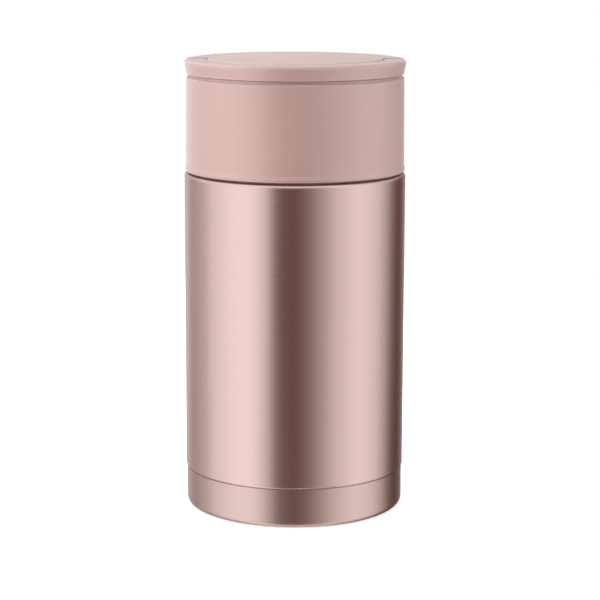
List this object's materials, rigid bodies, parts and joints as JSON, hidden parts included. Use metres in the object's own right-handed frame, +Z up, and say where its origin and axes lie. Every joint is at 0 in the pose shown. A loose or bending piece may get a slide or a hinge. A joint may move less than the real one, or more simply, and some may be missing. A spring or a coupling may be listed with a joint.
{
  "type": "insulated food jar",
  "caption": "Tall vacuum-walled food jar with a screw lid, a half-ring carry handle that folds flush with the lid's rim, and a vented screw stopper under the lid.",
  "frame": {"origin": "centre of the jar's foot, on the plane that it stands on", "axes": "+Z up along the jar's axis; -Y is the front, where the carry handle's bow lies; the handle hinges about X"},
  "size_m": [0.098, 0.098, 0.2006],
  "materials": {
    "rose_steel": "brushed round the barrel, rose-gold tint",
    "bare_steel": "satin, uncoated",
    "pink_plastic": "satin, semi-gloss",
    "disc_plastic": "fine matt",
    "inner_plastic": "satin",
    "silicone": "soft matt",
    "seal_silicone": "dark rose, soft matt",
    "foam": "expanded foam",
    "spring_steel": "bright drawn wire",
    "screw_steel": "bright zinc",
    "foil": "bright foil",
    "getter_metal": "sintered",
    "solder": "dull"
  },
  "bodies": {
    "jar": {"outer_shell": "rose_steel", "inner_vessel": "bare_steel", "base_cup": "rose_steel", "vacuum_plate": "bare_steel", "vacuum_plug": "solder", "getter": "getter_metal", "getter_clip": "bare_steel", "heat_foil": "foil"},
    "lid_seal": {"lid_seal": "seal_silicone"},
    "lid": {"lid_shell": "pink_plastic", "lid_liner": "pink_plastic", "lid_insulation": "foam", "top_cover": "pink_plastic", "top_disc": "disc_plastic", "cover_screws": "screw_steel", "handle_pins": "spring_steel"},
    "handle": {"handle": "pink_plastic"},
    "stopper_gasket": {"stopper_gasket": "silicone"},
    "stopper": {"stopper_body": "inner_plastic", "stopper_insulation": "foam", "stopper_cap": "inner_plastic", "valve_spring": "spring_steel"},
    "valve": {"valve_button": "pink_plastic", "valve_stem": "inner_plastic", "valve_seal": "silicone"}
  },
  "joints": [
    {"name": "lid_lift", "type": "slide", "parent": "jar", "child": "lid_seal", "axis": [0, 0, 1], "range_m": [0, 0.096]},
    {"name": "lid_turn", "type": "hinge", "parent": "lid_seal", "child": "lid", "pos_m": [0, 0, 0.1512], "axis": [0, 0, 1], "range_deg": [0, 1440]},
    {"name": "handle_fold", "type": "hinge", "parent": "lid", "child": "handle", "pos_m": [0, 0, 0.19708], "axis": [-1, 0, 0], "range_deg": [0, 90]},
    {"name": "stopper_lift", "type": "slide", "parent": "jar", "child": "stopper_gasket", "axis": [0, 0, 1], "range_m": [0, 0.0384]},
    {"name": "stopper_turn", "type": "hinge", "parent": "stopper_gasket", "child": "stopper", "pos_m": [0, 0, 0.166], "axis": [0, 0, 1], "range_deg": [0, 720]},
    {"name": "valve_press", "type": "slide", "parent": "stopper", "child": "valve", "axis": [0, 0, -1], "range_m": [0, 0.0025], "stiffness_N_per_m": 1000, "springref_m": -0.002, "deforming": ["valve_spring"]}
  ],
  "couplings": [
    {"joint": "lid_lift", "follows": "lid_turn", "m_per_rad": 0.0038197},
    {"joint": "stopper_lift", "follows": "lid_turn", "m_per_rad": 0.0015279},
    {"joint": "stopper_turn", "follows": "lid_turn", "ratio": 0.5}
  ]
}
